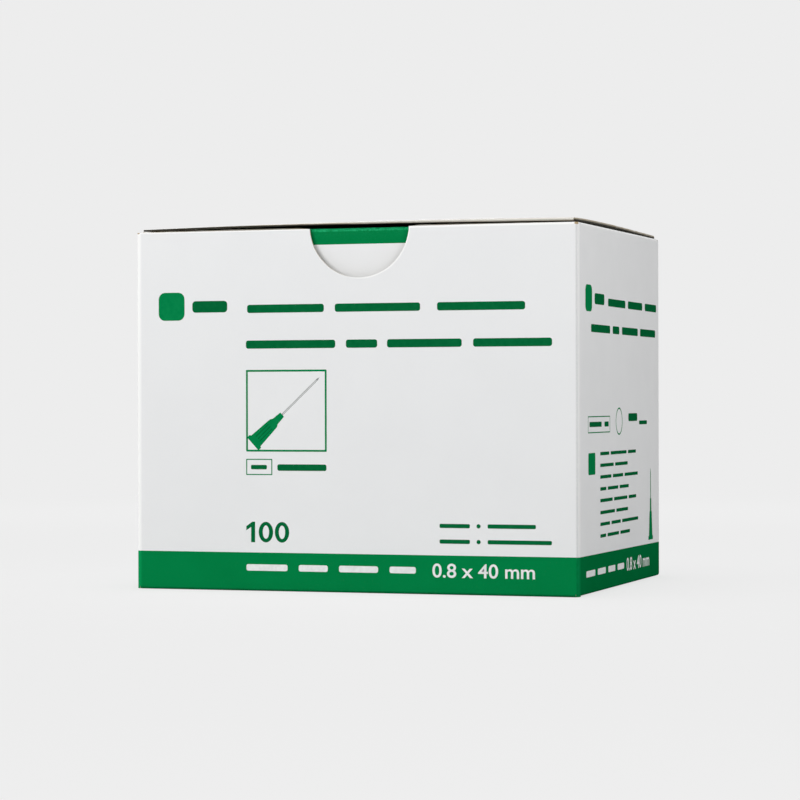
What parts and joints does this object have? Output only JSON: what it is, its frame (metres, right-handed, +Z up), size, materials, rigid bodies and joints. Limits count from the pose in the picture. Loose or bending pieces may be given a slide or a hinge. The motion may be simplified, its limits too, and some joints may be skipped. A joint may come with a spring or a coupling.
{
  "type": "carton of hypodermic needles",
  "caption": "Closed white folding carton with a green base band, a thumb-notched front and a hinged tuck lid, holding upright strips of peel-pouched hypodermic needles.",
  "frame": {"origin": "on the table, under the middle of the carton's footprint", "axes": "+Z up, the notched front panel faces -Y, the lid hinges along the back edge at +Y"},
  "size_m": [0.135, 0.101, 0.1081],
  "materials": {
    "coated_board": "clay-coated white face, grey-brown core, satin",
    "lid_board": "clay-coated face with raw beige cut edges",
    "green_print": "green printed coated board, satin varnish",
    "pouch_film": "clear formed film, glossy",
    "pouch_paper": "uncoated sterilisable paper",
    "needle_hub": "moulded green, slightly translucent",
    "needle_shield": "natural polypropylene",
    "needle_steel": "drawn stainless tube"
  },
  "bodies": {
    "carton": {"carton": "coated_board", "pouch_strip_01": "pouch_film", "pouch_strip_02": "pouch_film", "pouch_strip_03": "pouch_film", "pouch_strip_04": "pouch_film", "pouch_strip_05": "pouch_film", "pouch_strip_06": "pouch_film", "pouch_strip_07": "pouch_film", "pouch_strip_08": "pouch_film", "pouch_strip_09": "pouch_film", "pouch_strip_10": "pouch_film", "pouch_strip_11": "pouch_film", "pouch_strip_12": "pouch_film", "pouch_strip_13": "pouch_film", "pouch_strip_14": "pouch_film", "pouch_strip_15": "pouch_film", "pouch_strip_16": "pouch_film", "pouch_strip_17": "pouch_film", "pouch_strip_18": "pouch_film", "pouch_strip_19": "pouch_film", "pouch_strip_20": "pouch_film"},
    "lid": {"outer_lid": "lid_board", "tuck_lid": "green_print"}
  },
  "joints": [
    {"name": "lid_hinge", "type": "hinge", "parent": "carton", "child": "lid", "pos_m": [0, 0.0505, 0.1057], "axis": [-1, 0, 0], "range_deg": [0, 180]}
  ]
}
